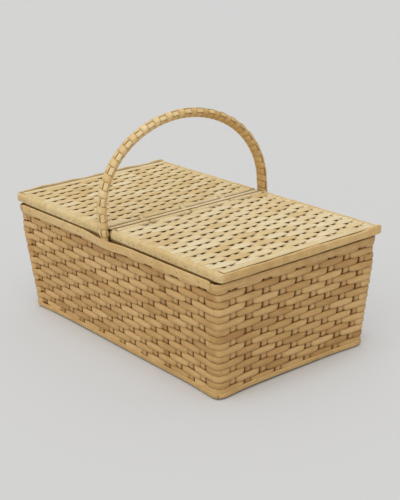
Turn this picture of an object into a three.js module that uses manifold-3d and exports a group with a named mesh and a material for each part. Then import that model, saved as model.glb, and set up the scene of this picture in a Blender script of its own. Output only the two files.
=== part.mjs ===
// Twin-lid picnic basket: a tapered woven body with a fixed arched handle over the middle, a centre bar
// across the mouth, and two flat woven lids whose rods turn in loops that are bound to the bar.
// Millimetres, +Z up. X runs along the basket, the front is -Y, the origin is the middle of the footprint.
import * as THREE from 'three';
import { mergeVertices } from 'three/addons/utils/BufferGeometryUtils.js';
import Module from 'manifold-3d';

const wasm = await Module();
wasm.setup();

// Clearance between pieces that touch
const gap = 0.3;

// Woven body, measured over the outside of the weave
const baseLength = 390;
const baseWidth = 226;
const mouthLength = 421;
const mouthWidth = 247;
const rimHeight = 145;
const wallThickness = 6;
const wallFootHeight = 1;
const cornerRadius = 10;
const cornerPostDiameter = 7;

// Flat strips round the rim and the foot
const bandThickness = 2.2;
const rimBandHeight = 11;
const rimBandRise = 2.5;
const bottomBandHeight = 9.5;
const rimCaneDiameter = 4.6;

// Bottom
const slatWidth = 26;
const slatThickness = 3.6;
const slatInset = 38.5;
const basePanelThickness = 5;

// Handle: a bent cane with shaved feet, wrapped from rim to rim, that leans a little to the front
const handleCoreWidth = 10.4;
const handleCoreDepth = 9;
const handleFootWidth = 7;
const handleFootDepth = 4.6;
const handleWrapThickness = 1.3;
const handleLegGap = 0.7;
const handleSplay = 2.8;
const handleTaperHeight = 9;
const handlePostHeight = 15;
const handleArchRise = 108.7;
const handleLean = 5;
const leaderWidth = 4.6;
const leaderThickness = 0.8;
const leaderOutset = 1;
const bandBulgeLength = 46;

// Nails that hold the handle
const nailDiameter = 2;
const nailHeadDiameter = 4.4;
const nailHeadThickness = 0.8;
const barNailLength = 25;
const legNailLength = 13;

// Centre bar
const barWidth = 16.4;
const beamThickness = 4.6;
const barCaneDiameter = 4;
const barStripThickness = 1.4;

// Lids
const lidThickness = 11;
const lidEndOverhang = 7;
const lidPanelThickness = 6;
const lidPanelDrop = 0.6;
const lidBorderThickness = 7;
const lidBorderRound = 3;
const lidRodDiameter = 4;
const lidRodDrop = 0.2;
const lidSeam = 1.4;
const lidBorderSetback = 0.6;

// Weave of the lids: rows of strip from front to back, over and under stakes that run along the lid and lie
// a little closer together towards the back
const lidRowInset = 7.9;
const lidRowPitch = 8.67;
const lidStakeInset = 27;
const lidStakePitch = 28.6;
const lidStakeNarrowing = 0.32;
const lidStakeWidth = 8.6;
const lidWeaveRelief = 1.7;

// Hinge loops, bound round the bar's cane and the lid's rod
const loopThickness = 0.8;
const loopWidth = 6;
const loopInset = 54;
const loopClearance = 0.3;
const grooveClearance = 0.6;

// Facets
const cornerSteps = 4;
const caneSides = 12;
const archSteps = 32;
const bulgeSteps = 4;

// Sizes that follow from the ones above
const nailRadius = nailDiameter / 2;
const rimCaneRadius = rimCaneDiameter / 2;
const rimBandTop = rimHeight + rimBandRise;
const rimBandBottom = rimBandTop - rimBandHeight;
const rimCaneHeight = rimHeight + gap + rimCaneRadius;
const lidUnderside = rimCaneHeight + rimCaneRadius + gap;
const lidTop = lidUnderside + lidThickness;
const basePanelBottom = slatThickness + gap;
const basePanelTop = basePanelBottom + basePanelThickness;

const footReach = mouthWidth / 2 + handleLegGap + handleFootDepth / 2;
const handleReach = footReach + handleSplay;
const handleFootTop = rimBandTop + gap;
const handleTaperTop = handleFootTop + handleTaperHeight;
const handleSpring = lidTop + handlePostHeight;
const handleTop = handleSpring + handleArchRise;
const rimCaneInset = handleWrapThickness - handleLegGap + 3 * gap + rimCaneRadius;

const beamBottom = lidUnderside;
const beamTop = beamBottom + beamThickness;
const beamHalf = footReach - handleFootDepth / 2 - gap - handleWrapThickness - gap;
const barCaneRadius = barCaneDiameter / 2;
const barCaneX = barWidth / 2 - barCaneRadius;
const barCaneZ = beamTop + gap + barCaneRadius;

const lidRodRadius = lidRodDiameter / 2;
const hingeX = barWidth / 2 + lidSeam + lidRodRadius;
const hingeZ = lidTop - lidRodDrop - lidRodRadius;
const lidHalfLength = mouthLength / 2 + gap + bandThickness + lidEndOverhang;
const lidHalfWidth = mouthWidth / 2 + gap + bandThickness;
const lidInnerHalf = lidHalfWidth - lidBorderThickness - gap;
const lidEndX = lidHalfLength - lidBorderThickness;

// Middles of the lids' stakes, from the front
const lidStakes = [];
for (let y = lidStakeInset - lidHalfWidth; y + lidStakeWidth / 2 < lidInnerHalf;) {
  lidStakes.push(y);
  y += lidStakePitch - lidStakeNarrowing * (2 * lidStakes.length - 1);
}

const loopHoleRadius = Math.max(barCaneRadius, lidRodRadius) + loopClearance;
const loopRadius = loopHoleRadius + loopThickness;
const loopPlaces = [loopInset - lidInnerHalf, 0, lidInnerHalf - loopInset];

// Finishes, in the straw tones of the photographed basket
function straw(color, roughness) {
  return new THREE.MeshStandardMaterial({ color, roughness, metalness: 0 });
}
const wallStraw = straw('#b8955f', 0.75);
const bandStraw = straw('#cdb07a', 0.65);
const lidStraw = straw('#dec99c', 0.75);
const handleStraw = straw('#c9a465', 0.6);
const bareCane = straw('#b98d54', 0.6);
const bambooSlat = straw('#c2a26b', 0.6);
const nailSteel = new THREE.MeshStandardMaterial({ color: '#8d8a84', roughness: 0.45, metalness: 1 });

function mix(from, to, share) {
  return from + (to - from) * share;
}

// A named piece in a group
function piece(group, name, geometry, material) {
  const mesh = new THREE.Mesh(geometry, material);
  mesh.name = name;
  group.add(mesh);
  return mesh;
}

// A closed skin over a row of rings with the same number of points, each ring turning
// anticlockwise when seen from ahead
function loft(rings) {
  const count = rings[0].length;
  const corners = [];
  for (let i = 0; i < rings.length - 1; i += 1) {
    for (let j = 0; j < count; j += 1) {
      const k = (j + 1) % count;
      corners.push(rings[i][j], rings[i][k], rings[i + 1][k]);
      corners.push(rings[i][j], rings[i + 1][k], rings[i + 1][j]);
    }
  }
  const first = rings[0];
  const last = rings[rings.length - 1];
  for (let j = 1; j < count - 1; j += 1) {
    corners.push(first[0], first[j + 1], first[j]);
    corners.push(last[0], last[j], last[j + 1]);
  }
  return new THREE.BufferGeometry().setFromPoints(corners);
}

// Boolean cut of one closed geometry by others
function toSolid(geometry) {
  const bare = geometry.clone();
  bare.deleteAttribute('normal');
  bare.deleteAttribute('uv');
  const merged = mergeVertices(bare, 1e-4);
  return new wasm.Manifold(new wasm.Mesh({
    numProp: 3,
    vertProperties: new Float32Array(merged.attributes.position.array),
    triVerts: new Uint32Array(merged.index.array),
  }));
}

function cut(geometry, ...tools) {
  const solid = tools.reduce((rest, tool) => rest.subtract(toSolid(tool)), toSolid(geometry));
  const mesh = solid.getMesh();
  const result = new THREE.BufferGeometry();
  result.setAttribute('position', new THREE.BufferAttribute(new Float32Array(mesh.vertProperties), 3));
  result.setIndex(new THREE.BufferAttribute(new Uint32Array(mesh.triVerts), 1));
  return result;
}

// A plate with a flat underside and a grid of heights on top. Each cell of the grid is folded along its
// higher diagonal.
function reliefPlate(xs, ys, heightAt, bottom) {
  const top = xs.map((x, i) => ys.map((y, j) => new THREE.Vector3(x, y, heightAt(i, j))));
  const corners = [];
  for (let i = 0; i < xs.length - 1; i += 1) {
    for (let j = 0; j < ys.length - 1; j += 1) {
      const [a, b, c, d] = [top[i][j], top[i + 1][j], top[i + 1][j + 1], top[i][j + 1]];
      corners.push(...(a.z + c.z > b.z + d.z ? [a, b, c, a, c, d] : [a, b, d, b, c, d]));
    }
  }
  const lastX = xs.length - 1;
  const lastY = ys.length - 1;
  const edge = [
    ...top.map((column) => column[0]),
    ...top[lastX].slice(1, lastY),
    ...top.toReversed().map((column) => column[lastY]),
    ...top[0].slice(1, lastY).reverse(),
  ];
  const middle = new THREE.Vector3((xs[0] + xs[lastX]) / 2, (ys[0] + ys[lastY]) / 2, bottom);
  edge.forEach((p, i) => {
    const q = edge[(i + 1) % edge.length];
    const pBelow = new THREE.Vector3(p.x, p.y, bottom);
    const qBelow = new THREE.Vector3(q.x, q.y, bottom);
    corners.push(pBelow, qBelow, q, pBelow, q, p, middle, qBelow, pBelow);
  });
  return new THREE.BufferGeometry().setFromPoints(corners);
}

// Flat outlines extruded along an axis. The outline's two directions are
// (Y, Z) for a prism along X, (Z, X) along Y and (X, Y) along Z.
const xAxis = new THREE.Vector3(1, 0, 0);
const yAxis = new THREE.Vector3(0, 1, 0);
const zAxis = new THREE.Vector3(0, 0, 1);

function prism(shape, from, to, basis) {
  const settings = { depth: to - from, bevelEnabled: false, curveSegments: cornerSteps };
  const geometry = new THREE.ExtrudeGeometry(shape, settings);
  geometry.translate(0, 0, from);
  geometry.applyMatrix4(new THREE.Matrix4().makeBasis(...basis));
  return geometry;
}

const prismAlongX = (shape, from, to) => prism(shape, from, to, [yAxis, zAxis, xAxis]);
const prismAlongY = (shape, from, to) => prism(shape, from, to, [zAxis, xAxis, yAxis]);
const prismAlongZ = (shape, from, to) => prism(shape, from, to, [xAxis, yAxis, zAxis]);

function outline(points) {
  return new THREE.Shape(points.map(([u, v]) => new THREE.Vector2(u, v)));
}

function roundedRectangle(halfU, halfV, radius) {
  const shape = new THREE.Shape();
  shape.absarc(halfU - radius, halfV - radius, radius, 0, Math.PI / 2);
  shape.absarc(radius - halfU, halfV - radius, radius, Math.PI / 2, Math.PI);
  shape.absarc(radius - halfU, radius - halfV, radius, Math.PI, Math.PI * 1.5);
  shape.absarc(halfU - radius, radius - halfV, radius, Math.PI * 1.5, Math.PI * 2);
  return shape;
}

function rod(radius, from, to) {
  const geometry = new THREE.CylinderGeometry(radius, radius, to - from, caneSides);
  geometry.translate(0, (from + to) / 2, 0);
  return geometry;
}

// The body's plan at a height: half sizes over the weave, moved out by an offset
function halfLengthAt(z, out) {
  return (baseLength + (mouthLength - baseLength) * (z / rimHeight)) / 2 + out;
}

function halfWidthAt(z, out) {
  return (baseWidth + (mouthWidth - baseWidth) * (z / rimHeight)) / 2 + out;
}

function cornerRadiusAt(out) {
  const smallest = 0.5;
  return Math.max(cornerRadius + out, smallest);
}

// One side's run of points from the middle of one rounded corner to the middle of the next, as seen from
// outside with the side at -Y. The ends draw back from the mitre, and the middle may bulge outwards.
function sideRun(long, z, out, bulge) {
  const along = long ? halfLengthAt(z, out) : halfWidthAt(z, out);
  const away = long ? halfWidthAt(z, out) : halfLengthAt(z, out);
  const radius = cornerRadiusAt(out);
  const run = [];
  for (let i = 0; i <= cornerSteps; i += 1) {
    const turn = (Math.PI / 4) * (1 - i / cornerSteps);
    const x = along - radius + radius * Math.sin(turn);
    run.push(new THREE.Vector3(-x, -(away - radius + radius * Math.cos(turn)), z));
  }
  const end = run[0];
  end.x += (gap / 2) * Math.SQRT1_2;
  end.y += -(gap / 2) * Math.SQRT1_2;
  const other = run.map((p) => new THREE.Vector3(-p.x, p.y, z)).reverse();
  const middle = [];
  if (bulge) {
    const flat = handleFootWidth / 2 + gap;
    const ramp = bandBulgeLength / 2 - flat;
    for (let i = 0; i <= bulgeSteps; i += 1) {
      const t = i / bulgeSteps;
      const lift = bulge * t * t * (3 - 2 * t);
      middle.push(new THREE.Vector3(-(flat + ramp * (1 - t)), -(away + lift), z));
    }
    middle.push(...middle.map((p) => new THREE.Vector3(-p.x, p.y, z)).reverse());
  }
  return [...run, ...middle, ...other];
}

// A bar of constant section along one side; the section lists [out, z] clockwise with out to the right
function sideBar(long, section, bulge = 0) {
  const runs = section.map(([out, z]) => sideRun(long, z, out, bulge));
  return loft(runs[0].map((_, i) => runs.map((run) => run[i])));
}

function stripSection(outer, thickness, bottom, top) {
  const inner = outer - thickness;
  return [[outer, bottom], [inner, bottom], [inner, top], [outer, top]];
}

function caneSection(out, z, radius) {
  return Array.from({ length: caneSides }, (_, i) => {
    const turn = -2 * Math.PI * (i / caneSides);
    return [out + radius * Math.cos(turn), z + radius * Math.sin(turn)];
  });
}

const sides = [
  { name: 'front', long: true, turn: 0 },
  { name: 'right', long: false, turn: Math.PI / 2 },
  { name: 'back', long: true, turn: Math.PI },
  { name: 'left', long: false, turn: -Math.PI / 2 },
];

// Nails: a straight shank with a flat head, along +Y from the head
function nail(length) {
  const head = nailHeadDiameter / 2;
  return new THREE.LatheGeometry([
    new THREE.Vector2(0, 0),
    new THREE.Vector2(head, 0),
    new THREE.Vector2(head, nailHeadThickness),
    new THREE.Vector2(nailRadius, nailHeadThickness),
    new THREE.Vector2(nailRadius, length - nailDiameter),
    new THREE.Vector2(0, length),
  ], caneSides);
}

// The handle's two nails on the front side; the back side is the front turned half round
const legNailZ = (rimBandBottom + rimHeight) / 2;
const innerBandOut = -wallThickness - gap - bandThickness;
const legNailHeadY = -halfWidthAt(rimBandBottom, innerBandOut) + nailHeadThickness + gap;
const barNailZ = beamBottom + beamThickness / 2;
const barNailTaper = (barNailZ - nailHeadDiameter / 2 - gap - handleFootTop) / handleTaperHeight;
const barNailHeadY = -mix(footReach + handleFootDepth / 2, handleReach + handleCoreDepth / 2, barNailTaper);

function legNailHole() {
  const hole = rod(nailRadius + gap, -legNailLength - gap, gap);
  hole.translate(0, legNailHeadY, legNailZ);
  return hole;
}

function barNailHole() {
  const hole = rod(nailRadius + gap, -gap, barNailLength + gap);
  hole.translate(0, barNailHeadY, barNailZ);
  return hole;
}

function barNailSink() {
  const sink = rod(nailHeadDiameter / 2 + gap, -nailHeadDiameter, nailHeadThickness + gap);
  sink.translate(0, barNailHeadY, barNailZ);
  return sink;
}

function bothSides(tool) {
  return [tool, tool.clone().rotateZ(Math.PI)];
}

// Walls, rim strips, rim canes and foot strips, one of each on every side
function buildSides(basket) {
  const bulge = footReach + handleFootDepth / 2 - halfWidthAt(rimBandBottom, 0);
  const sections = {
    wall: stripSection(0, wallThickness, wallFootHeight, rimHeight),
    outerBand: stripSection(gap + bandThickness, bandThickness, rimBandBottom, rimBandTop),
    innerBand: stripSection(-wallThickness - gap, bandThickness, rimBandBottom, rimBandTop),
    cane: caneSection(-rimCaneInset, rimCaneHeight, rimCaneRadius),
    foot: stripSection(gap + bandThickness, bandThickness, 0, bottomBandHeight),
  };
  for (const { name, long, turn } of sides) {
    const wall = sideBar(long, sections.wall);
    const innerBand = sideBar(long, sections.innerBand);
    const pieces = [
      [`${name}_wall`, long ? cut(wall, legNailHole()) : wall, wallStraw],
      [`rim_band_outer_${name}`, sideBar(long, sections.outerBand, long ? bulge : 0), bandStraw],
      [`rim_band_inner_${name}`, long ? cut(innerBand, legNailHole()) : innerBand, bandStraw],
      [`rim_cane_${name}`, sideBar(long, sections.cane), bareCane],
      [`bottom_band_${name}`, sideBar(long, sections.foot), bandStraw],
    ];
    for (const [nodeName, geometry, material] of pieces) {
      piece(basket, nodeName, geometry, material).rotation.z = turn;
    }
  }
}

// Upright posts that nestle in the four inside corners
function buildCornerPosts(basket) {
  const radius = cornerPostDiameter / 2;
  const inside = cornerRadiusAt(-wallThickness);
  const inset = Math.max(radius + gap, inside - (inside - radius - gap) * Math.SQRT1_2);
  const ends = [basePanelTop + gap, rimBandBottom - gap];
  for (const [nameX, signX] of [['left', -1], ['right', 1]]) {
    for (const [nameY, signY] of [['front', -1], ['back', 1]]) {
      const rings = ends.map((z) => Array.from({ length: caneSides }, (_, i) => {
        const turn = 2 * Math.PI * (i / caneSides);
        return new THREE.Vector3(
          signX * (halfLengthAt(z, -wallThickness) - inset) + radius * Math.cos(turn),
          signY * (halfWidthAt(z, -wallThickness) - inset) + radius * Math.sin(turn),
          z,
        );
      }));
      piece(basket, `corner_post_${nameY}_${nameX}`, loft(rings), bareCane);
    }
  }
}

// Woven bottom on three lengthwise slats
function buildBottom(basket) {
  const clear = -wallThickness - gap;
  const panel = roundedRectangle(
    halfLengthAt(basePanelBottom, clear),
    halfWidthAt(basePanelBottom, clear),
    cornerRadiusAt(clear),
  );
  piece(basket, 'base_panel', prismAlongZ(panel, basePanelBottom, basePanelTop), wallStraw);
  const slatHalf = halfLengthAt(wallFootHeight, clear);
  const slatY = halfWidthAt(wallFootHeight, clear) - slatInset;
  for (const [name, y] of [['front', -slatY], ['middle', 0], ['back', slatY]]) {
    const slat = new THREE.BoxGeometry(2 * slatHalf, slatWidth, slatThickness);
    piece(basket, `base_slat_${name}`, slat, bambooSlat).position.set(0, y, slatThickness / 2);
  }
}

// The handle's centre line: up the front foot, out to the post, over an elliptic arch and down again at the
// back. sectionAt gives the ring of [x, inward] points for a share from foot (0) to post (1), and a ring is
// set square to the line at every station.
function handleSweep(sectionAt, start) {
  const rise = [{ y: -footReach, z: start, tangent: [0, 1], share: 0 }];
  if (start < handleFootTop) {
    rise.push({ y: -footReach, z: handleFootTop, tangent: [0, 1], share: 0 });
  }
  rise.push({ y: -handleReach, z: handleTaperTop, tangent: [0, 1], share: 1 });
  const arch = Array.from({ length: archSteps + 1 }, (_, i) => {
    const turn = Math.PI * (i / archSteps);
    const run = handleReach * Math.sin(turn);
    const climb = handleArchRise * Math.cos(turn);
    const length = Math.hypot(run, climb);
    return {
      y: -handleReach * Math.cos(turn),
      z: handleSpring + handleArchRise * Math.sin(turn),
      tangent: [run / length, climb / length],
      share: 1,
    };
  });
  const fall = rise.toReversed().map(({ y, z, share }) => ({ y: -y, z, tangent: [0, -1], share }));
  return loft([...rise, ...arch, ...fall].map(({ y, z, tangent: [ty, tz], share }) => {
    const lean = handleLean * Math.max(0, (z - handleTaperTop) / (handleTop - handleTaperTop));
    return sectionAt(share).map(
      ([x, inward]) => new THREE.Vector3(x, y - lean + tz * inward, z - ty * inward),
    );
  }));
}

function sectionPoints(width, depth, radius) {
  return roundedRectangle(width / 2, depth / 2, radius).getPoints(1)
    .filter((p, i, all) => p.distanceTo(all[(i + 1) % all.length]) > 1e-6)
    .map((p) => [p.x, p.y]);
}

// The core's section, grown on every side
function handleSection(growth) {
  return (share) => {
    const width = mix(handleFootWidth, handleCoreWidth, share);
    const depth = mix(handleFootDepth, handleCoreDepth, share);
    return sectionPoints(width + 2 * growth, depth + 2 * growth, depth / 3 + growth);
  };
}

// A leader strip's section, flat against one side face of the wrapping
function leaderSection(sign) {
  return (share) => {
    const face = mix(handleFootWidth, handleCoreWidth, share) / 2 + handleWrapThickness + 2 * gap;
    const middle = sign * (face + leaderThickness / 2);
    return [[1, -1], [1, 1], [-1, 1], [-1, -1]].map(
      ([u, v]) => [middle + (u * leaderThickness) / 2, (v * leaderWidth) / 2 - leaderOutset],
    );
  };
}

function buildHandle(basket) {
  const core = handleSweep(handleSection(0), rimBandBottom);
  const coreCuts = [legNailHole(), barNailHole(), barNailSink()].flatMap(bothSides);
  piece(basket, 'handle_core', cut(core, ...coreCuts), bareCane);

  const wrap = handleSweep(handleSection(gap + handleWrapThickness), handleFootTop);
  const hollow = handleSweep(handleSection(gap), rimBandBottom);
  piece(basket, 'handle_wrap', cut(wrap, hollow, ...bothSides(barNailHole())), handleStraw);

  for (const [name, sign] of [['left', -1], ['right', 1]]) {
    piece(basket, `handle_leader_${name}`, handleSweep(leaderSection(sign), handleFootTop), handleStraw);
  }

  for (const [name, turn] of [['front', 0], ['back', Math.PI]]) {
    const end = new THREE.Group();
    end.rotation.z = turn;
    basket.add(end);
    piece(end, `bar_nail_${name}`, nail(barNailLength), nailSteel).position.set(0, barNailHeadY, barNailZ);
    const legNail = piece(end, `leg_nail_${name}`, nail(legNailLength), nailSteel);
    legNail.position.set(0, legNailHeadY, legNailZ);
    legNail.rotation.z = Math.PI;
  }
}

// Centre bar: a slat across the rim, two canes on it and a strip over them, with room for the hinge loops
function buildCentreBar(basket) {
  const grooveHalf = loopWidth / 2 + grooveClearance;
  const grooveFloor = barCaneZ - loopRadius - grooveClearance;
  const topLine = loopPlaces.flatMap((y) => [
    [y - grooveHalf, beamTop],
    [y - grooveHalf, grooveFloor],
    [y + grooveHalf, grooveFloor],
    [y + grooveHalf, beamTop],
  ]);
  const side = outline([
    [beamHalf, beamBottom], [beamHalf, beamTop], ...topLine.reverse(),
    [-beamHalf, beamTop], [-beamHalf, beamBottom],
  ]);
  const beam = prismAlongX(side, -barWidth / 2, barWidth / 2);
  piece(basket, 'center_beam', cut(beam, ...bothSides(barNailHole())), bambooSlat);

  const notchX = barCaneX - loopRadius - grooveClearance;
  const edge = [
    [barWidth / 2, -beamHalf],
    ...loopPlaces.flatMap((y) => [
      [barWidth / 2, y - grooveHalf], [notchX, y - grooveHalf],
      [notchX, y + grooveHalf], [barWidth / 2, y + grooveHalf],
    ]),
    [barWidth / 2, beamHalf],
  ];
  const strip = outline([...edge, ...edge.map(([x, y]) => [-x, -y])]);
  const stripBottom = barCaneZ + barCaneRadius + gap;
  piece(basket, 'center_strip', prismAlongZ(strip, stripBottom, stripBottom + barStripThickness), bandStraw);

  for (const [name, x] of [['left', -barCaneX], ['right', barCaneX]]) {
    const cane = piece(basket, `bar_cane_${name}`, rod(barCaneRadius, -beamHalf, beamHalf), bareCane);
    cane.position.set(x, 0, barCaneZ);
  }
}

// Hinge loops on one side of the bar, each round the bar's cane and the lid's rod. They are built to the
// right of the bar's cane, and the left ones are the same loops turned half round.
function buildHingeLoops(basket, name, turn, places) {
  const row = new THREE.Group();
  row.rotation.z = turn;
  row.position.set(barCaneX * Math.cos(turn), 0, barCaneZ);
  basket.add(row);

  const reach = Math.hypot(hingeX - barCaneX, hingeZ - barCaneZ);
  const tilt = Math.atan2(hingeZ - barCaneZ, hingeX - barCaneX);
  const loopOutline = (radius) => {
    const path = new THREE.Path();
    path.absarc(0, reach, radius, 0, Math.PI);
    path.absarc(0, 0, radius, Math.PI, Math.PI * 2);
    return path.getPoints(cornerSteps);
  };
  const shape = new THREE.Shape(loopOutline(loopRadius));
  shape.holes.push(new THREE.Path(loopOutline(loopHoleRadius)));
  places.forEach((place, i) => {
    const geometry = prismAlongY(shape, -loopWidth / 2, loopWidth / 2);
    const loop = piece(row, `${name}_hinge_loop_${place}`, geometry, handleStraw);
    loop.rotation.y = -tilt;
    loop.position.y = loopPlaces[i];
  });
}

// One lid, built to the right of its hinge axis, which is the middle of its rod: the group's origin is the
// axis, so turning the group about Y opens the lid. The left lid is the same lid turned half round.
function buildLid(basket, name, turn, ends) {
  const lid = new THREE.Group();
  lid.rotation.z = turn;
  lid.position.set(hingeX * Math.cos(turn), 0, hingeZ);
  basket.add(lid);

  const endX = lidEndX - hingeX;
  const bottom = lidUnderside - hingeZ;
  const top = lidTop - hingeZ;
  piece(lid, `${name}_lid_hinge_rod`, rod(lidRodRadius, -lidInnerHalf, lidInnerHalf), bareCane);

  const panelTop = top - lidPanelDrop;
  const panelX = lidRodRadius + gap;
  const panelEnd = endX - gap;
  const rowCount = Math.floor((panelEnd - lidRowInset) / lidRowPitch);
  const rows = Array.from({ length: rowCount }, (_, i) => lidRowInset + lidRowPitch * i);
  const stakes = turn ? lidStakes.toReversed().map((y) => -y) : lidStakes;
  const woven = reliefPlate(
    [panelX, ...rows, panelEnd],
    [-lidInnerHalf, ...stakes, lidInnerHalf],
    (i, j) => {
      const atEdge = i === 0 || i > rows.length || j === 0 || j > stakes.length;
      const crossing = (i + j) % 2 ? lidWeaveRelief : 0;
      return panelTop - (atEdge ? lidWeaveRelief / 2 : crossing);
    },
    panelTop - lidPanelThickness,
  );
  const notches = loopPlaces.map((y) => {
    const reach = loopRadius + grooveClearance;
    const notch = new THREE.BoxGeometry(2 * reach, loopWidth + 2 * grooveClearance, 3 * lidPanelThickness);
    return notch.translate(0, y, panelTop);
  });
  piece(lid, `${name}_lid_panel`, cut(woven, ...notches), lidStraw);

  const round = Math.min(lidBorderRound, lidBorderThickness - gap, lidThickness / 2);
  const borderX = lidBorderSetback - lidRodRadius;
  for (const [end, sign] of [[ends[0], -1], [ends[1], 1]]) {
    const section = new THREE.Shape();
    section.moveTo(sign * (lidInnerHalf + gap), bottom);
    section.lineTo(sign * lidHalfWidth, bottom);
    section.lineTo(sign * lidHalfWidth, top - round);
    section.quadraticCurveTo(sign * lidHalfWidth, top, sign * (lidHalfWidth - round), top);
    section.lineTo(sign * (lidInnerHalf + gap), top);
    piece(lid, `${name}_lid_border_${end}`, prismAlongX(section, borderX, endX - gap), bandStraw);
  }

  const endSection = new THREE.Shape();
  const outerX = endX + lidBorderThickness;
  endSection.moveTo(bottom, endX);
  endSection.lineTo(bottom, outerX);
  endSection.lineTo(panelTop - round, outerX);
  endSection.quadraticCurveTo(panelTop, outerX, panelTop, outerX - round);
  endSection.lineTo(panelTop, endX);
  const endBorder = prismAlongY(endSection, -lidHalfWidth, lidHalfWidth);
  piece(lid, `${name}_lid_border_end`, endBorder, bandStraw);
}

const basket = new THREE.Group();
basket.name = 'picnic_basket';
buildBottom(basket);
buildSides(basket);
buildCornerPosts(basket);
buildHandle(basket);
buildCentreBar(basket);
buildHingeLoops(basket, 'right', 0, ['front', 'middle', 'back']);
buildHingeLoops(basket, 'left', Math.PI, ['back', 'middle', 'front']);
buildLid(basket, 'right', 0, ['front', 'back']);
buildLid(basket, 'left', Math.PI, ['back', 'front']);

export default basket;
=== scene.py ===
import math

import bpy
import numpy as np
from mathutils import Matrix, Vector


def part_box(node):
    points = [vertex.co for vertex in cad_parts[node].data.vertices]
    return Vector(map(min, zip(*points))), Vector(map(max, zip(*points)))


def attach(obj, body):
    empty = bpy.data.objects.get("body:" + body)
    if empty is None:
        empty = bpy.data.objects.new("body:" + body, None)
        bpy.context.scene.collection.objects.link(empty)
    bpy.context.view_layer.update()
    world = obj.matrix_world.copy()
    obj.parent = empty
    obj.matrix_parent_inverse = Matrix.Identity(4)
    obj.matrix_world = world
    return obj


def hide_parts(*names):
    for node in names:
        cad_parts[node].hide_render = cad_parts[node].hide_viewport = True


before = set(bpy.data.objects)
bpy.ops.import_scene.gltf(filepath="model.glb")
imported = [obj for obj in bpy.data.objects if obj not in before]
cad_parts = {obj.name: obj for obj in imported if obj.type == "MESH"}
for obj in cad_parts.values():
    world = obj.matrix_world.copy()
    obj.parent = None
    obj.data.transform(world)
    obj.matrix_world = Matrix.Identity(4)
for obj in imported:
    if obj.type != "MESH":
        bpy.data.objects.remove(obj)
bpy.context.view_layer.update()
rng = np.random.default_rng(11)

# All sizes below are in millimetres, and meshes are made in metres.
MM = 0.001
x_axis, y_axis, z_axis = np.eye(3)
lid_sides = (("left", -1), ("right", 1))
long_edges = (("front", -1), ("back", 1))

# The tapering body
base_length, base_width = 390.0, 226.0
mouth_length, mouth_width = 421.0, 247.0
rim_height = 145.0
wall_thickness = 6.0
length_slope = (mouth_length - base_length) / 2 / rim_height
width_slope = (mouth_width - base_width) / 2 / rim_height

# The stakes of the walls, at their places at stake_height. They fan out with the walls.
long_stakes = -191.0 + 24.7 * np.arange(16)
short_stakes = 1.0 + 25.3 * np.arange(-4, 5)
stake_height = 100.0
stake_foot, stake_top = 3.0, 143.0
stake_width, stake_thickness = 10.5, 2.4
stake_bow = 0.5

# The woven rows. A strip swings strip_lift to both sides of the stakes. Its edges bend back by strip_curl,
# less within corner_grip of a corner. It swells on top, is pinched where it dives, turns the corners at
# bend_radius, and sways up and down a little on its way round.
row_pitch, first_row, row_count = 8.55, 9.6, 16
strip_width, strip_swell, strip_pinch = 9.0, 0.7, 3.0
strip_thickness = 2.0
strip_lift, strip_curl = 2.4, 1.45
bend_radius, corner_grip = 3.2, 9.0
row_sway, row_sways = 0.25, 5
row_tone_spread, strip_tone_spread = 0.1, 0.17

# How far the weave stands out of the plain wall, and how much more at the corners, up to near the rim
weave_swell = 2.4
corner_swell, corner_spread = 2.6, 32.0
corner_top, corner_fade = 112.0, 20.0

# Where a strip's dive under the next stake begins and ends, as shares of the way there
wall_dive, flat_dive = (0.45, 0.91), (0.22, 0.84)

# The strips of the flat weaves, in the bottom and the lids
flat_thickness, flat_curl, flat_sway = 1.5, 0.3, 0.2
flat_stake_thickness, flat_stake_bow = 1.2, 0.2

# The bands round the rim and the foot: the heights of their edges, how far they lie off the weave and go
# past the middle of each corner, and how much paler they are. The long ones bulge over the handle's feet.
rim_end = dict(z_low=137.9, z_high=147.1, lift=3.3, thick=1.9, wrap=7.0, pale=0.0)
rim_long = dict(z_low=137.4, z_high=149.2, lift=3.6, thick=1.9, wrap=-7.2, pale=0.3, bulge=3.6)
rim_inner = dict(z_low=136.5, z_high=147.5, lift=-4.4, thick=2.2, wrap=-12.0, pale=0.12)
foot_end = dict(z_low=2.4, z_high=9.0, lift=2.6, thick=2.4, wrap=-0.1, pale=-0.1, r=2.4)
foot_long = dict(foot_end, z_low=2.0, z_high=8.6)
bulge_flat, bulge_reach = 4.0, 50.0
band_wave, band_taper = 0.25, 3.0

# The handle: its feet, the taper above them, and the arch, which leans to the front
foot_reach, handle_reach = 126.5, 129.3
handle_start, taper_top = 147.8, 156.8
handle_spring, handle_rise = 176.2, 108.7
handle_lean = 5.0
foot_size = 0.76

# The strip wound round the handle, and the leaders on its left (-1) and right (1) shoulders. A leader lies
# on a dark strip of painted shade. Where it passes under a turn, both are low and pinched, and the turn is
# lifted.
wrap_pitch, wrap_width, wrap_thickness = 9.6, 9.3, 1.0
wrap_half_x, wrap_half_out = 6.3, 5.6
wrap_swell, wrap_lift, wrap_lift_angle = 0.6, 0.8, 0.6
shoulders = {-1: math.radians(2.0), 1: math.radians(30.0)}
leader_width, leader_pinch, leader_thickness = 5.2, 1.4, 0.8
leader_low, leader_swing = -0.85, 1.8
shade_strip_width, shade_strip_shift = {-1: 5.2, 1: 6.8}, {-1: 0.0, 1: 0.5}
shade_strip_pinch, shade_strip_thickness = 3.0, 0.4
shade_strip_low, shade_strip_swing = -0.9, 1.2

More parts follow.
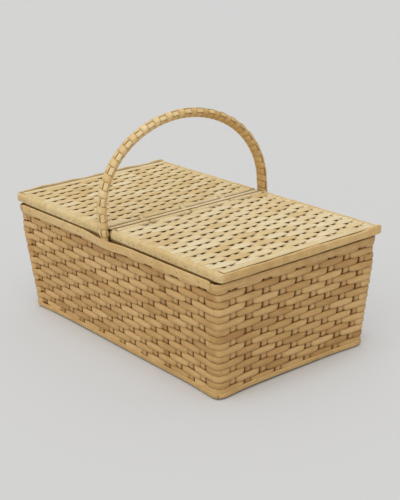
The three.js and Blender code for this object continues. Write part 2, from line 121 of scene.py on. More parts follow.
# The centre bar, the lids' rods beside it, and the loops that bind the rods to the bar's canes
bar_reach, bar_z = 121.0, 160.1
bar_middle_width = 7.6
bar_side_x, bar_side_width = 7.3, 2.2
bar_thickness = 1.5
# The dark strip under the bar's grooves is painted shade.
bar_shade_width, bar_shade_thickness, bar_shade_z = 13.0, 0.5, 159.5
bar_cane_x, bar_cane_z = 6.2, 157.1
hinge_x, hinge_z = 11.6, 159.0
loop_places = {"front": -64.7, "middle": 0.0, "back": 64.7}
loop_radius, loop_width, loop_thickness = 2.5, 3.0, 0.6
loop_turns = (-1.55, 1.55)
bar_gap, cover_gap = 3.3, 4.2
cover_reach = 118.0
cover_outside, cover_inside, cover_turn = 2.55, 2.1, (215, -40)

# The lids: their weave, the strips at its outer end, and the borders round it
lid_under, lid_half_width = 150.2, 126.0
lid_rows = 19.5 + 8.67 * np.arange(22)
stake_number = np.arange(9)
lid_stakes = -99.0 + 28.6 * stake_number - 0.32 * stake_number ** 2
lid_row_reach, lid_stake_span = 122.0, (15.4, 214.0)
lid_weave_z = 158.7
last_strip = dict(x=210.1, z=159.9, width=11.8, thick=1.5, span=(-118.0, 121.0))
closing_strip = dict(x=213.6, z=154.2, width=4.6, thick=7.4, span=(-118.0, 121.0))
inner_strip = dict(x=201.5, z=154.4, width=3.0, thick=6.4, span=(-116.0, 116.0))
border_start, border_round, border_end = 10.2, 213.5, 218.7
lid_rounding = 5.3
end_x = 216.4
near_bend_y, far_tip_length = -117.0, 5.0
end_flare, end_rise, tip_rise = 2.4, 1.4, 2.6
near_tuck, far_tuck = 3.0, 2.5
curl_start, curl_length = 96.0, 26.0

# The pins in the lids' borders and in the long rim bands, scattered a little round their places
pin_heights = np.array([-0.5, 0.05, 0.2, 0.28])
pin_sizes = np.array([1.3, 1.3, 1.0, 0.4])
lid_pin_x, lid_pin_z = np.arange(20.0, 212.0, 13.5), lid_under + 4.2
rim_pin_x, rim_pin_z = (-182.0, -142.0, -101.0, -62.0, 58.0, 99.0, 140.0, 183.0), 143.2
lid_pin_lift, rim_pin_lift = 0.05, 4.55
lid_pin_scatter, rim_pin_scatter, pin_scatter_z = 2.5, 4.0, 0.8


# Small helpers

def unit(v):
    v = np.asarray(v, float)
    return v / np.linalg.norm(v, axis=-1, keepdims=True)


def ease(t):
    """Goes smoothly from 0 to 1 as t does, and stays level outside."""
    t = np.clip(t, 0.0, 1.0)
    return t * t * (3 - 2 * t)


def rounded_off(t):
    """How far a quarter circle falls away, from 0 to 1 as t goes from 0 to 1."""
    return 1 - np.sqrt(1 - np.clip(t, 0, 1) ** 2)


def points(x, y, z):
    """A path from its coordinates, each a row of numbers or one number for the whole path."""
    return np.column_stack(np.broadcast_arrays(x, y, z))


def half_length(z):
    return base_length / 2 + length_slope * z


def half_width(z):
    return base_width / 2 + width_slope * z


def random_tone(spread=0.2):
    return float(np.clip(rng.normal(0.5, spread), 0.0, 1.0))


def between_loops(reach, gap):
    """The stretches from -reach to reach that leave gap free on both sides of each hinge loop."""
    stops = [-reach]
    for place in loop_places.values():
        stops += [place - gap, place + gap]
    stops.append(reach)
    return list(zip(stops[0::2], stops[1::2]))


def circle(turn):
    """Points of a circle of radius 1 at the angles turn."""
    return np.column_stack([np.cos(turn), np.sin(turn)])


def oval(count, power):
    """A closed section one unit wide and one unit thick, from an ellipse (power 2) to a box."""
    outline = circle(np.arange(count) * 2 * math.pi / count)
    return 0.5 * np.sign(outline) * np.abs(outline) ** (2 / power)


def rounded_section(corners, radii, steps):
    """A closed section from its corners, each rounded by its own radius."""
    corners = np.asarray(corners, float)
    outline = []
    for i, radius in enumerate(radii):
        corner = corners[i]
        to_last = unit(corners[i - 1] - corner)
        to_next = unit(corners[(i + 1) % len(corners)] - corner)
        start, end = corner + to_last * radius, corner + to_next * radius
        for t in np.linspace(0, 1, steps + 1):
            outline.append((1 - t) ** 2 * start + 2 * t * (1 - t) * corner + t * t * end)
    return np.array(outline)


def strip_shade(section, n, depth=0.0, edge=0.0, low_edge=0.0, back_depth=None, core=1.0):
    """How much shade is painted on each point of a strip at its n sections: depth on its face, by how deep
    it lies in the weave, core how much of that its middle line takes, back_depth on its back, by how deep
    that lies, edge on both its edges, and low_edge on the edge against its side direction."""
    across, up = section.T
    depth = np.broadcast_to(depth, n)[:, None]
    back_depth = depth if back_depth is None else np.broadcast_to(back_depth, n)[:, None]
    faces_out = 0.5 + 0.5 * np.tanh(up / 0.1)
    from_middle = 2 * np.abs(across)
    to_low_edge = np.clip(-2 * across, 0, 1) ** 2
    face_shade = depth * (core + (1 - core) * from_middle ** 2)
    edge_shade = edge * from_middle ** 4 + np.broadcast_to(low_edge, n)[:, None] * to_low_edge
    shade = face_shade * faces_out + back_depth * (1 - faces_out) + edge_shade
    return np.clip(shade, 0, 1).ravel()


def add_object(name, data):
    ob = bpy.data.objects.new(name, data)
    bpy.context.collection.objects.link(ob)
    return ob


flat_oval = oval(12, 2.4)


class Strips:
    """Collects swept strips and makes one mesh of them, with maps along and across each strip."""

    longest_chart = 400.0
    chart_gap = 1.2

    def __init__(self):
        self.points, self.faces = [], []
        self.strip_uv, self.chart_uv, self.chart_of = [], [], []
        self.tones, self.depths, self.charts = [], [], []
        self.count = 0

    def add(self, path, side, out, width=1.0, thick=1.0, tone=0.5, section=flat_oval, closed=False,
            curl=0.0, **shading):
        """Sweeps section along path. side is the direction across the strip, out the one that it faces, and
        curl how far its two edges bend back from that. shading goes to strip_shade."""
        path = np.asarray(path, float)
        n, m = len(path), len(section)
        side, out = (np.broadcast_to(np.asarray(v, float), (n, 3)) for v in (side, out))
        given = (width, thick, tone, curl)
        width, thick, tone, curl = (np.broadcast_to(np.asarray(v, float), n) for v in given)
        across = section[:, 0] * width[:, None]
        height = section[:, 1] * thick[:, None] - 4 * section[:, 0] ** 2 * curl[:, None]
        swept = path[:, None] + across[:, :, None] * side[:, None] + height[:, :, None] * out[:, None]
        self.points.append(swept.reshape(-1, 3))
        self.tones.append(np.repeat(tone, m))
        self.depths.append(strip_shade(section, n, **shading))
        forward = np.dot(np.cross(side[0], out[0]), path[1] - path[0]) > 0
        self.add_faces(path, section * [width.mean(), thick.mean()], closed, forward)
        self.count += n * m

    def add_faces(self, path, outline, closed, forward):
        """Joins the outlines along path, closes the ends, and maps each stretch to a chart of its own."""
        n, m = len(path), len(outline)
        loop = np.vstack([path, path[:1]]) if closed else path
        along = np.concatenate([[0], np.cumsum(np.linalg.norm(np.diff(loop, axis=0), axis=1))])
        edges = np.linalg.norm(np.roll(outline, -1, 0) - outline, axis=1)
        around = np.concatenate([[0], np.cumsum(edges)])
        spans = n if closed else n - 1
        ring, k = (v.ravel() for v in np.meshgrid(np.arange(spans), np.arange(m), indexing="ij"))
        next_ring, next_k = (ring + 1) % n, (k + 1) % m
        quads = np.stack([ring * m + k, ring * m + next_k, next_ring * m + next_k, next_ring * m + k], 1)
        u = np.stack([along[ring], along[ring], along[ring + 1], along[ring + 1]], 1)
        v = np.stack([around[k], around[k + 1], around[k + 1], around[k]], 1)
        stretch_of = (along[:-1] // self.longest_chart).astype(int)
        stretches = range(stretch_of.max() + 1)
        starts = np.array([along[:-1][stretch_of == c].min(initial=1e9) for c in stretches])
        stretch_of = stretch_of[ring]
        chart_u = u - starts[stretch_of][:, None]
        first_chart = len(self.charts)
        for c in stretches:
            self.charts.append((chart_u[stretch_of == c].max(), around[-1]))
        turn = slice(None) if forward else slice(None, None, -1)
        self.faces.extend((quads[:, turn] + self.count).tolist())
        self.strip_uv.append(np.stack([u[:, turn], v[:, turn]], -1).reshape(-1, 2))
        self.chart_uv.append(np.stack([chart_u[:, turn], v[:, turn]], -1).reshape(-1, 2))
        self.chart_of.append(np.repeat(first_chart + stretch_of, 4))
        if closed:
            return
        for ring_start, end, flip in ((0, 0.0, forward), ((n - 1) * m, along[-1], not forward)):
            order = np.arange(m)[::-1] if flip else np.arange(m)
            self.faces.append((order + ring_start + self.count).tolist())
            self.strip_uv.append(np.stack([np.full(m, end), around[order]], 1))
            self.chart_uv.append(outline[order] - outline.min(0))
            self.chart_of.append(np.full(m, len(self.charts)))
            self.charts.append(tuple(np.ptp(outline, axis=0)))

    def chart_places(self):
        """Sets the charts side by side on shelves, and gives their places and the sheet's side."""
        sizes = np.array(self.charts) + self.chart_gap
        shelf_width = max(sizes[:, 0].max(), math.sqrt(sizes.prod(1).sum()) * 1.04)
        places = np.zeros_like(sizes)
        x = y = shelf = 0.0
        for i in np.lexsort((-sizes[:, 0], -sizes[:, 1])):
            if x + sizes[i, 0] > shelf_width:
                x, y, shelf = 0.0, y + shelf, 0.0
            places[i] = x, y
            x += sizes[i, 0]
            shelf = max(shelf, sizes[i, 1])
        return places + self.chart_gap / 2, max(shelf_width, y + shelf)

    def piece(self, name, material, body, slot, *nodes):
        """Makes the mesh, puts it on its body and hides the CAD nodes that it stands for."""
        mesh = bpy.data.meshes.new(name)
        mesh.from_pydata((np.vstack(self.points) * MM).tolist(), [], self.faces)
        strip_map = mesh.uv_layers.new(name="strip")
        strip_map.data.foreach_set("uv", (np.vstack(self.strip_uv) * MM).ravel())
        places, sheet_side = self.chart_places()
        chart_uv = (np.vstack(self.chart_uv) + places[np.concatenate(self.chart_of)]) / sheet_side
        bake_map = mesh.uv_layers.new(name="OFBake")
        bake_map.data.foreach_set("uv", chart_uv.ravel())
        mesh.uv_layers.active = strip_map
        strip_map.active_render = True
        # The first attribute holds each strip's own tone, the second the shade painted on it.
        for label, values in (("tone", self.tones), ("depth", self.depths)):
            attribute = mesh.attributes.new(label, "FLOAT", "POINT")
            attribute.data.foreach_set("value", np.concatenate(values).astype(np.float32))
        mesh.polygons.foreach_set("use_smooth", np.ones(len(mesh.polygons), bool))
        mesh.update()
        mesh.materials.append(material)
        ob = add_object(name, mesh)
        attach(ob, body)
        if nodes:
            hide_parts(*nodes)


# Materials

def set_inputs(tree, node, inputs):
    """Links the sockets among inputs to the node, and sets the others as plain values."""
    for key, value in inputs.items():
        if isinstance(value, bpy.types.NodeSocket):
            tree.links.new(value, node.inputs[key])
        else:
            node.inputs[key].default_value = value


def add_node(tree, kind, inputs=None, **settings):
    node = tree.nodes.new(kind)
    for key, value in settings.items():
        setattr(node, key, value)
    set_inputs(tree, node, inputs or {})
    return node


def math_node(tree, operation, a, b=0.0, c=0.0):
    node = add_node(tree, "ShaderNodeMath", {0: a, 1: b, 2: c}, operation=operation)
    return node.outputs[0]


def map_range(tree, value, from_low, from_high, to_low, to_high):
    inputs = {0: value, 1: from_low, 2: from_high, 3: to_low, 4: to_high}
    return add_node(tree, "ShaderNodeMapRange", inputs).outputs[0]


def mix_colour(tree, factor, a, b, blend="MIX"):
    node = add_node(tree, "ShaderNodeMix", {0: factor, 6: a, 7: b}, data_type="RGBA", blend_type=blend)
    return node.outputs[2]


def ramp_node(tree, factor, stops):
    node = add_node(tree, "ShaderNodeValToRGB", {0: factor})
    elements = node.color_ramp.elements
    while len(elements) < len(stops):
        elements.new(0.5)
    for element, (place, colour) in zip(elements, stops):
        element.position = place
        element.color = (*colour, 1.0)
    return node.outputs[0]


def fibre_noise(tree, place, along, across, shift, detail=3.0):
    """Noise stretched along a strip. along and across are patterns for each metre."""
    scale = {0: place, 1: (along, across, along)}
    scaled = add_node(tree, "ShaderNodeVectorMath", scale, operation="MULTIPLY").outputs[0]
    inputs = {"Vector": scaled, "W": shift, "Scale": 1.0, "Detail": detail, "Roughness": 0.6}
    return add_node(tree, "ShaderNodeTexNoise", inputs, noise_dimensions="4D").outputs[0]


def new_material(name):
    """A material with its node tree and its shader."""
    mat = bpy.data.materials.new(name)
    mat.use_nodes = True
    return mat, mat.node_tree, mat.node_tree.nodes["Principled BSDF"]


def straw_material(name, tones, fleck_and_shade, roughness=0.5, specular=0.35, grain_turn=None):
    """Dried plant strip: its tone, soft patches, lengthwise fibres, dark flecks, shade painted into its
    crevices and a fine relief. It reads the strips' own maps, or the object's coordinates turned by
    grain_turn."""
    mat, tree, shader = new_material(name)
    if grain_turn is None:
        place = add_node(tree, "ShaderNodeUVMap", uv_map="strip").outputs[0]
        strip_tone = add_node(tree, "ShaderNodeAttribute", attribute_name="tone").outputs["Fac"]
        depth = add_node(tree, "ShaderNodeAttribute", attribute_name="depth").outputs["Fac"]
    else:
        coords = add_node(tree, "ShaderNodeTexCoord").outputs["Object"]
        place = add_node(tree, "ShaderNodeMapping", {"Vector": coords, "Rotation": grain_turn}).outputs[0]
        strip_tone = fibre_noise(tree, coords, along=9.0, across=9.0, shift=1.7, detail=0.0)
        depth = None
    shift = math_node(tree, "MULTIPLY", strip_tone, 57.0)
    patches = fibre_noise(tree, place, along=26.0, across=60.0, shift=shift, detail=2.0)
    fibres = fibre_noise(tree, place, along=70.0, across=1900.0, shift=shift, detail=3.0)
    flecks = fibre_noise(tree, place, along=420.0, across=1300.0, shift=shift, detail=2.0)
    fade = math_node(tree, "MULTIPLY_ADD", math_node(tree, "SUBTRACT", patches, 0.5), 1.1, strip_tone)
    fade = math_node(tree, "MULTIPLY_ADD", math_node(tree, "SUBTRACT", fibres, 0.5), 0.5, fade)
    colour = ramp_node(tree, fade, tones)
    streak = map_range(tree, fibres, 0.3, 0.75, 0.84, 1.1)
    colour = mix_colour(tree, 1.0, colour, streak, "MULTIPLY")
    fleck = map_range(tree, flecks, 0.66, 0.78, 0.0, 0.35)
    colour = mix_colour(tree, fleck, colour, (*fleck_and_shade, 1.0))
    # Painted shade: the strips darken towards the flecks' dark colour as far as their shade attribute says.
    if depth:
        colour = mix_colour(tree, depth, colour, (*fleck_and_shade, 1.0))
    rough = map_range(tree, fibres, 0.25, 0.75, roughness - 0.1, roughness + 0.12)
    relief = math_node(tree, "MULTIPLY_ADD", flecks, 0.6, fibres)
    bump = add_node(tree, "ShaderNodeBump", {"Height": relief, "Strength": 0.35, "Distance": 0.0003})
    set_inputs(tree, shader, {"Base Color": colour, "Roughness": rough, "Specular IOR Level": specular,
                              "Normal": bump.outputs[0]})
    return mat


wall_straw = straw_material("wall_straw", [
    (0.0, (0.45, 0.242, 0.078)), (0.35, (0.57, 0.337, 0.12)), (0.6, (0.65, 0.405, 0.157)),
    (0.85, (0.73, 0.478, 0.205)), (1.0, (0.69, 0.415, 0.168))], fleck_and_shade=(0.165, 0.062, 0.004))
lid_straw = straw_material("lid_straw", [
    (0.0, (0.62, 0.425, 0.18)), (0.35, (0.70, 0.52, 0.255)), (0.6, (0.75, 0.60, 0.34)),
    (0.85, (0.80, 0.67, 0.42)), (1.0, (0.78, 0.61, 0.37))], fleck_and_shade=(0.15, 0.05, 0.003), specular=0.14)
band_straw = straw_material("band_straw", [
    (0.0, (0.52, 0.305, 0.105)), (0.4, (0.63, 0.40, 0.15)), (0.7, (0.71, 0.475, 0.195)),
    (1.0, (0.77, 0.545, 0.25))], fleck_and_shade=(0.16, 0.062, 0.005), roughness=0.45)
handle_straw = straw_material("handle_straw", [
    (0.0, (0.58, 0.345, 0.12)), (0.4, (0.69, 0.45, 0.175)), (0.7, (0.78, 0.555, 0.25)),
    (1.0, (0.84, 0.64, 0.34))], fleck_and_shade=(0.15, 0.058, 0.004), roughness=0.42)


# Walls: hoops of straw woven round upright stakes

def weave_reach(z):
    """Half the length and half the width of the middle of the weave at height z."""
    return (half_length(z) - wall_thickness / 2 + weave_swell,
            half_width(z) - wall_thickness / 2 + weave_swell)


def ring_sides(z, r=bend_radius):
    """The lengths of a long side, a corner of radius r and a short side of the weave at height z."""
    a, b = weave_reach(z)
    return 2 * (a - r), math.pi / 2 * r, 2 * (b - r)


def half_turn(z, r=bend_radius):
    """The distance halfway round the weave at height z."""
    long_side, corner, short_side = ring_sides(z, r)
    return long_side + short_side + 2 * corner


def ring_point(s, z, r):
    """Points and outward directions in plan at distances s round the middle of the weave at height z."""
    a, b = weave_reach(z)
    long_side, corner, short_side = ring_sides(z, r)
    half = half_turn(z, r)
    s = np.mod(s, 2 * half)
    turned = s >= half
    s = np.where(turned, s - half, s)
    on_long = s < long_side
    in_first = (s >= long_side) & (s < long_side + corner)
    on_short = (s >= long_side + corner) & (s < long_side + corner + short_side)
    bend = np.where(in_first, (s - long_side) / r - math.pi / 2, (s - long_side - corner - short_side) / r)
    bend = np.where(on_long, -math.pi / 2, np.where(on_short, 0.0, bend))
    normal = circle(bend)
    centre_x = np.where(on_long, s - (a - r), a - r)
    centre_y = np.where(on_long | in_first, -(b - r), b - r)
    centre_y = np.where(on_short, s - long_side - corner - (b - r), centre_y)
    point = np.stack([centre_x, centre_y], -1) + r * normal
    flip = np.where(turned, -1.0, 1.0)[..., None]
    return point * flip, normal * flip


def wall_frame(s, z, lift, rise=0.0, r=bend_radius):
    """Path, up-slope side and outward direction for a run round the body at height z, lifted outwards."""
    flat_point, flat_normal = ring_point(s, z, r)
    slope = length_slope * flat_normal[:, 0] ** 2 + width_slope * flat_normal[:, 1] ** 2
    out = unit(np.column_stack([flat_normal, -slope]))
    side = unit(np.column_stack([flat_normal * slope[:, None], np.ones(len(s))]))
    path = np.column_stack([flat_point, np.full(len(s), z)])
    return path + out * np.asarray(lift)[..., None] + side * np.asarray(rise)[..., None], side, out


def corner_push(from_corner, z):
    """How far the weave stands out near a corner, fading towards the rim."""
    fading = 1 - ease((z - corner_top) / corner_fade)
    return corner_swell * np.exp(-(from_corner / corner_spread) ** 2) * fading


def stake_scale(z):
    """How far the stakes have fanned out at height z, along the basket and across it."""
    return half_length(z) / half_length(stake_height), half_width(z) / half_width(stake_height)


def ring_knots(z):
    """Distances round the body at z of each stake and corner, in order."""
    long_side, corner, short_side = ring_sides(z)
    long_scale, short_scale = stake_scale(z)
    half = np.concatenate([long_stakes * long_scale + long_side / 2, [long_side + corner / 2],
                           short_stakes * short_scale + short_side / 2 + long_side + corner,
                           [long_side + short_side + corner * 1.5]])
    return np.concatenate([half, half + half_turn(z)])


def dive(t, start, end):
    """Height of a strip from over one stake (1, at t 0) to under the next (-1, at t 1)."""
    x = ease((t - start) / (end - start))
    return 1 - 2 * x * x


def woven_run(knots, levels, swells, tones, span):
    """Places along a strip, its height and swelling at each, and the tone of the stretch it belongs to."""
    places, heights, widths, run_tones = [], [], [], []
    start, end = span
    steps_within = np.interp([0.0, 0.25, 0.45, 0.6, 0.72, 0.84, 1.0], [0, 1], span)
    dive_steps = np.concatenate([[0.0, 0.6 * start], steps_within])
    rise_steps = np.concatenate([[0.0], 1 - dive_steps[:0:-1]])
    for i in range(len(knots) - 1):
        a, b = levels[i], levels[i + 1]
        t = dive_steps if a >= b else rise_steps
        share = (dive(t if a >= b else 1 - t, start, end) + 1) / 2
        places.append(knots[i] + (knots[i + 1] - knots[i]) * t)
        heights.append(min(a, b) + abs(a - b) * share)
        widths.append(swells[i] + (swells[i + 1] - swells[i]) * ease((t - 0.24) / 0.52))
        run_tones.append(np.full(len(t), tones[i] if a >= b else tones[i + 1]))
    runs, ends = (places, heights, widths, run_tones), (knots, levels, swells, tones)
    return [np.concatenate([*run, end[-1:]]) for run, end in zip(runs, ends)]


def sunk(heights):
    """How deep in the weave a strip lies, from 0 on top to 1 where it passes under a stake. It sets painted
    shade.
    """
    return ease((-0.05 - heights) / 0.6)


first_corner = len(long_stakes)
half_count = len(long_stakes) + len(short_stakes) + 2
corner_places = np.array([first_corner, half_count - 1, first_corner + half_count, 2 * half_count - 1])


def add_weaver(strips, row):
    """Adds one row, which runs over and under the stakes and flat round the corners."""
    z = first_row + row_pitch * row
    total = 2 * half_turn(z)
    knots = ring_knots(z)
    levels = np.where((np.arange(len(knots)) + row) % 2 == 0, -1.0, 1.0)
    swells = levels.copy()
    levels[corner_places] = 0.9 + 0.06 * levels[corner_places]
    swells[corner_places] = 0.0
    row_tone = rng.normal(0.5, row_tone_spread)
    tones = np.clip(rng.normal(row_tone, strip_tone_spread, len(knots)), 0, 1)
    round_again = [np.append(values, values[0]) for values in (levels, swells, tones)]
    run = woven_run(np.append(knots, knots[0] + total), *round_again, wall_dive)
    places, heights, swell, run_tones = (values[:-1] for values in run)
    sway = row_sway * np.sin(places / total * 2 * math.pi * row_sways + row * 1.9)
    from_corner = np.abs(places[:, None] - knots[corner_places]).min(1)
    flatter = 0.65 * np.exp(-(from_corner / corner_grip) ** 2)
    curl = strip_curl * (0.35 + 0.65 * heights) * (1 - flatter)
    path, side, out = wall_frame(places, z, heights * strip_lift + corner_push(from_corner, z), sway)
    width = strip_width + strip_swell * np.maximum(swell, 0) - strip_pinch * ease((0.35 - heights) / 1.2)
    # Painted shade where the strip dives under a stake, along both its edges and more on the lower one near
    # a dive, and a little on its back.
    strips.add(path, side, out, width, strip_thickness, run_tones, closed=True, curl=curl,
               depth=sunk(heights), core=0.3, edge=0.35, low_edge=1.1 * ease((0.75 - heights) / 0.9),
               back_depth=0.3 * sunk(-heights))


def add_stake(strips, index):
    """Adds the upright stake at one of the ring's knots, with shade painted on it where a row covers it and
    at its edges.
    """
    row_steps = np.array([-0.5, -0.36, -0.2, 0.0, 0.2, 0.36])
    row_z = first_row + row_pitch * (np.arange(row_count)[:, None] + row_steps).ravel()
    heights = np.concatenate([[stake_foot], row_z, [stake_top]])
    phase = math.pi * (heights - first_row) / row_pitch + math.pi * (index % 2)
    # Painted shade on the stake where a row covers it, most below each bare stretch, and a little all
    # along.
    below = ease(0.5 - 1.5 * np.sin(phase))
    tucked_shade = 0.1 + (0.15 + 0.85 * below) * ease((0.9 - np.cos(phase)) / 0.6)
    path, out = [], []
    for z in heights:
        knots = ring_knots(z)
        push = corner_push(np.abs(knots[corner_places] - knots[index]).min(), z)
        spot, _, facing = wall_frame(knots[index:index + 1], z, np.full(1, push))
        path.append(spot[0])
        out.append(facing[0])
    path, out = np.array(path), np.array(out)
    side = np.cross(out, unit(np.gradient(path, axis=0)))
    bow = stake_bow * np.cos(phase)
    strips.add(path + out * bow[:, None], side, out, stake_width, stake_thickness,
               np.clip(random_tone() + 0.1, 0, 1), depth=tucked_shade, edge=1.3, back_depth=0.0)


weavers = Strips()
for row in range(row_count):
    add_weaver(weavers, row)
weavers.piece("wall_weavers", wall_straw, "basket", "wall_weave",
              "front_wall", "right_wall", "back_wall", "left_wall")

stakes = Strips()
for index in range(2 * half_count):
    if index not in corner_places:
        add_stake(stakes, index)
stakes.piece("wall_stakes", wall_straw, "basket", "wall_weave")


# Flat weaves: the bottom and the lids

def woven_panel(strips, place, rows, row_span, crossings, cross_span, middle, lift, row_width, row_swell,
                cross_width, parity, tone_shift=0.0):
    """Adds rows woven over and under crossing stakes. place turns distances along the rows, across the rows
    and up into xyz."""
    origin, along_row, across_row, up = place(np.vstack([np.zeros(3), np.eye(3)]))
    along_row, across_row, up = along_row - origin, across_row - origin, up - origin
    for j, row_at in enumerate(rows):
        levels = np.where((np.arange(len(crossings)) + j) % 2 == parity, -1.0, 1.0)
        knots = np.concatenate([[row_span[0]], crossings, [row_span[1]]])
        swells = np.concatenate([[0.0], levels, [0.0]])
        levels = np.concatenate([[0.7], levels, [0.7]])
        tones = np.clip(rng.normal(0.5 + tone_shift + rng.normal(0, 0.06), 0.13, len(knots)), 0, 1)
        along, heights, swell, run_tones = woven_run(knots, levels, swells, tones, flat_dive)
        sway = flat_sway * np.sin(along / 31.0 + j * 2.3)
        path = place(np.column_stack([along, row_at + sway, middle + lift * heights]))
        width = row_width + row_swell * np.maximum(swell, 0.25 * swell)
        outermost = j in (0, len(rows) - 1)
        # Painted shade where a row dives under a stake, less on the outermost rows, a little on its back
        # and along its edges.
        strips.add(path, across_row, up, width, flat_thickness, run_tones, curl=flat_curl * heights,
                   depth=sunk(heights) * (0.35 if outermost else 1.0), back_depth=0.3 * sunk(-heights),
                   edge=0.12)
    for k, cross_at in enumerate(crossings):
        across = np.arange(cross_span[0], cross_span[1] + 0.01, 2.2)
        nearest = (across - rows[0]) / (rows[1] - rows[0])
        bow = flat_stake_bow * np.cos(math.pi * (nearest + k + parity))
        path = place(points(cross_at, across, middle + bow))
        # A little painted shade all along each crossing stake.
        strips.add(path, along_row, up, cross_width, flat_stake_thickness,
                   np.clip(random_tone() + tone_shift, 0, 1), depth=0.1)


low, high = (np.array(corner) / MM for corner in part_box("base_panel"))
bottom_z = (low[2] + high[2]) / 2
bottom_x, bottom_y = np.array([half_length(bottom_z), half_width(bottom_z)]) - wall_thickness / 2
bottom_rows = row_pitch * (np.arange(26) - 12.5)
bottom_stakes = long_stakes * stake_scale(bottom_z)[0]
bottom = Strips()
woven_panel(bottom, lambda p: p, rows=bottom_rows, row_span=(-bottom_x, bottom_x), crossings=bottom_stakes,
            cross_span=(-bottom_y, bottom_y), middle=bottom_z, lift=1.35, row_width=8.9, row_swell=1.2,
            cross_width=7.0, parity=0)
bottom.piece("bottom_weave", wall_straw, "basket", "wall_weave", "base_panel")


# Bands round the rim and round the foot

def band_run(side, z, wrap, r, step=3.0):
    """Distances round the body for a band on one side, going wrap past the middle of each corner."""
    long_side, corner, short_side = ring_sides(z, r)
    start = -corner / 2 if side in ("front", "back") else long_side + corner / 2
    if side in ("back", "left"):
        start = start + half_turn(z, r)
    length = (long_side if side in ("front", "back") else short_side) + corner
    first, last = start - wrap, start + length + wrap
    return np.linspace(first, last, int((last - first) / step) + 1)


def band_strip(side, z_low, z_high, lift, thick, wrap, pale, bulge=0.0, r=bend_radius):
    """One side's band between two heights, lifted off the weave, with a bulge over the handle's foot."""
    middle = (z_low + z_high) / 2
    s = band_run(side, middle, wrap, r)
    from_end = np.minimum(s - s[0], s[-1] - s)
    path, up, out = wall_frame(s, middle, np.full(len(s), lift), r=r)
    push = bulge * (1 - ease((np.abs(path[:, 0]) - bulge_flat) / bulge_reach))
    push = push + corner_push(from_end + wrap, middle)
    wave = band_wave * np.sin(s / 47.0 + len(side))
    path = path + out * push[:, None] + up * (wave - 0.12 * push)[:, None]
    turned = unit(np.cross(unit(np.gradient(path, axis=0)), up))
    out = np.where(np.sum(turned * out, 1, keepdims=True) > 0, turned, -turned)
    width = (z_high - z_low) * (0.86 + 0.14 * ease(from_end / band_taper))
    strip = Strips()
    strip.add(path, up, out, width, thick, np.clip(random_tone(0.1) + pale + 0.08 * np.sin(s / 61.0), 0, 1),
              section=oval(14, 3.0))
    return strip


for side in ("front", "right", "back", "left"):
    at_end = side in ("right", "left")
    outer = band_strip(side, **(rim_end if at_end else rim_long))
    outer.piece(f"rim_strip_outer_{side}", wall_straw if at_end else band_straw, "basket", "band_strip",
                f"rim_band_outer_{side}")
    inner = band_strip(side, **rim_inner)
    inner.piece(f"rim_strip_inner_{side}", band_straw, "basket", "band_strip", f"rim_band_inner_{side}")
    foot = band_strip(side, **(foot_end if at_end else foot_long))
    foot.piece(f"foot_strip_{side}", band_straw, "basket", "band_strip", f"bottom_band_{side}")


# Handle: a strip wound round the core, and a leader on each shoulder woven through its turns

def handle_line(step):
    """Points, tangents, outward directions and size along the handle, from front foot to back foot."""
    arch = np.linspace(0, math.pi, 721)
    y = np.concatenate([[-foot_reach, -handle_reach], -handle_reach * np.cos(arch),
                        [handle_reach, foot_reach]])
    z = np.concatenate([[handle_start, taper_top], handle_spring + handle_rise * np.sin(arch),
                        [taper_top, handle_start]])
    y = y - handle_lean * np.clip((z - taper_top) / (handle_spring + handle_rise - taper_top), 0, 1)
    along = np.concatenate([[0], np.cumsum(np.hypot(np.diff(y), np.diff(z)))])
    s = np.arange(0, along[-1], step)
    path = points(0.0, np.interp(s, along, y), np.interp(s, along, z))
    tangent = unit(np.gradient(path, axis=0))
    out = points(0.0, -tangent[:, 2], tangent[:, 1])
    size = foot_size + (1 - foot_size) * ease((path[:, 2] - handle_start) / (taper_top - handle_start))
    return s, path, tangent, out, size


def leader_over(s, face_side):
    """1 where a side's leader lies over the winding at distance s and 0 where it passes under a turn, and
    the angle round the handle at which it lies."""
    seat_turn = shoulders[face_side] if face_side > 0 else math.pi - shoulders[face_side]
    beat = ((s / wrap_pitch - seat_turn / (2 * math.pi)) / 2 + 0.5 * (face_side < 0)) % 1.0
    return 1 - ease((np.abs(beat - 0.5) - 0.22) / 0.05), seat_turn


def handle_tone_and_shade(path):
    """Pale on the front half of the handle and more golden on the back half. Darker towards the front foot,
    where shade is painted on.
    """
    from_back = 1 - ease((path[:, 1] + 70.0) / 140.0)
    from_feet = ease((path[:, 2] - 150.0) / 50.0)
    return 0.25 + 0.5 * from_back - 0.28 * from_back * (1 - from_feet)


def wind_handle():
    """Winds the strip from foot to foot, raised where it passes over a leader."""
    s, path, _, out, size = handle_line(step=wrap_pitch / 30)
    turn = 2 * math.pi * s / wrap_pitch
    across, radial = np.cos(turn)[:, None], np.sin(turn)[:, None]
    spot = path + size[:, None] * (wrap_half_x * across * x_axis + wrap_half_out * radial * out)
    face = unit(across / wrap_half_x * x_axis + radial / wrap_half_out * out)
    for face_side in shoulders:
        over, seat_turn = leader_over(s, face_side)
        from_seat = (turn - seat_turn + math.pi) % (2 * math.pi) - math.pi
        lift = wrap_lift * (1 - over) * np.exp(-(from_seat / wrap_lift_angle) ** 2)
        spot = spot + lift[:, None] * face
    side = unit(np.cross(face, unit(np.gradient(spot, axis=0))))
    width = wrap_width + wrap_swell * np.maximum(np.sin(turn), 0)
    tones = np.clip(handle_tone_and_shade(path) + 0.08 * np.sin(s / 23.0) + 0.06 * np.sin(s / 7.3), 0, 1)
    winding = Strips()
    # Painted shade along the edges of each turn.
    winding.add(spot, side, face, width, wrap_thickness, tones, section=oval(12, 3.0), curl=0.3, edge=0.34)
    winding.piece("handle_winding", handle_straw, "basket", "handle_strip", "handle_wrap")


